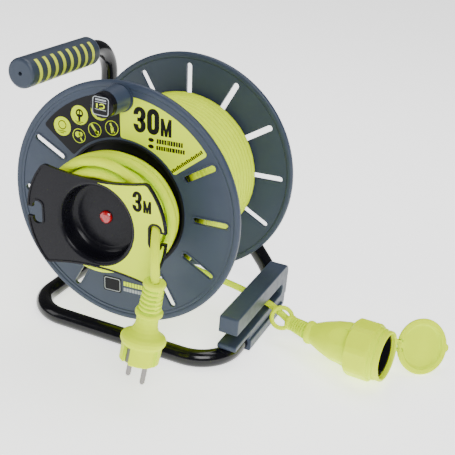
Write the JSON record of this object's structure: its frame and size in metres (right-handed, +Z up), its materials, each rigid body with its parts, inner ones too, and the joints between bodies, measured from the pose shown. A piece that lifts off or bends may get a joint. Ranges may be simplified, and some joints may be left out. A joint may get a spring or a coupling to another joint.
{
  "type": "extension cord reel",
  "caption": "Portable cord reel on a bent tube stand: turning drum of cable, short lead with a plug in a front tidy, carrying grip, cord guide and a lidded trailing socket.",
  "frame": {"origin": "middle of the reel without its cords, on the ground under the frame", "axes": "+Z up, front of the reel with the lead tidy towards -Y, drum axis along Y, grip on the -X side"},
  "size_m": [0.4328, 0.2768, 0.2776],
  "materials": {
    "tube": "gloss",
    "slate": "satin",
    "lime_rubber": "satin",
    "cable": "satin",
    "black": "satin",
    "steel": "brushed",
    "nickel": "polished",
    "brass": "satin",
    "ivory": "satin",
    "label_lime": "gloss",
    "label_black": "gloss",
    "red": "gloss"
  },
  "bodies": {
    "frame": {"frame_tube": "tube", "grip_sleeve": "slate", "grip_bands": "lime_rubber", "axle_plug": "steel", "axle_washer": "steel", "axle_bolt": "steel", "axle_collar": "steel", "cord_guide_inner": "slate", "cord_guide_outer": "slate", "guide_screws": "steel", "trailing_cable": "cable", "socket_relief": "lime_rubber", "socket_body": "lime_rubber", "socket_front": "lime_rubber", "socket_insert": "black", "socket_liner": "black", "socket_contacts": "brass", "socket_earths": "steel", "lid_hinge_pin": "steel"},
    "drum": {"front_flange": "slate", "rear_flange": "slate", "barrel": "black", "front_bush": "black", "rear_bush": "black", "flange_screws": "steel", "cable_winding": "cable", "lead_tray": "black", "tray_core": "black", "tidy_plate": "black", "tidy_dish": "black", "tray_screws": "steel", "cutout_screws": "steel", "thermal_cutout": "black", "cutout_tabs": "brass", "terminal_block": "ivory", "terminal_screws": "brass", "label_length": "label_lime", "label_icons": "label_black", "label_tidy": "label_lime", "badge": "label_black", "lead_coil": "cable", "hanging_lead": "cable", "plug_relief": "lime_rubber", "plug_body": "lime_rubber", "plug_pins": "nickel", "plug_earths": "steel", "knob_pin": "steel"},
    "knob": {"knob_sleeve": "slate", "knob_cap": "black"},
    "button": {"reset_button": "red"},
    "lid": {"socket_lid": "lime_rubber"}
  },
  "joints": [
    {"name": "drum_spin", "type": "hinge", "parent": "frame", "child": "drum", "pos_m": [0.00112, 0.00212, 0.1544], "axis": [0, 1, 0], "continuous": true},
    {"name": "knob_spin", "type": "hinge", "parent": "drum", "child": "knob", "pos_m": [-0.00564, 0.00212, 0.25898], "axis": [0, 1, 0], "continuous": true},
    {"name": "button_press", "type": "slide", "parent": "drum", "child": "button", "axis": [0, 1, 0], "range_m": [0, 0.0025], "stiffness_N_per_m": 600},
    {"name": "lid_hinge", "type": "hinge", "parent": "frame", "child": "lid", "pos_m": [0.26484, 0.03267, 0.03152], "axis": [-0.17, 0.1839, 0.9681], "range_deg": [-141.3, 12]}
  ]
}
